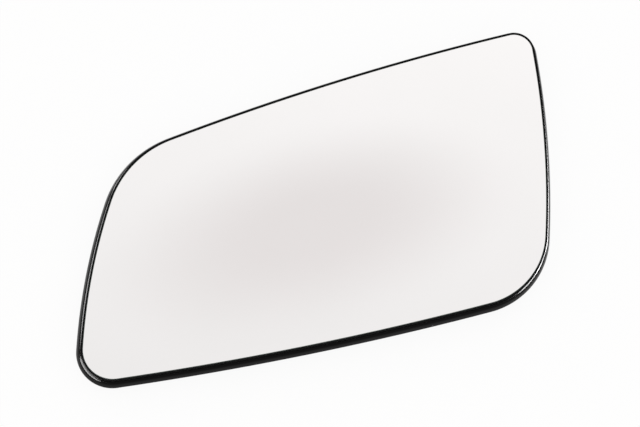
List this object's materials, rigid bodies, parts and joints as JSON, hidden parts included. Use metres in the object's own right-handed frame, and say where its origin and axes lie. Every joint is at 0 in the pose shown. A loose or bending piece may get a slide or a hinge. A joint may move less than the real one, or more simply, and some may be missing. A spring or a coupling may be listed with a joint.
{
  "type": "car door mirror glass",
  "caption": "Convex silvered glass for a car door mirror, bonded into a black moulded tray with a rounded lip and a round snap ring on the back.",
  "frame": {"origin": "centre of the circle that the snap ring's claws grip, on the ring's axis", "axes": "+Z out of the reflecting face along the ring's axis, +X from the outer tip to the door, +Y up on the car"},
  "size_m": [0.1836, 0.1013, 0.0133],
  "materials": {
    "mirror": "second-surface silvered convex glass with a ground edge",
    "foam": "dull closed-cell foam sheet, sticky on both faces",
    "black_plastic": "black moulding, satin on the lip and side wall, fine grain behind"
  },
  "bodies": {
    "root": {"mirror_glass": "mirror", "bonding_pad": "foam", "glass_holder": "black_plastic"}
  },
  "joints": []
}
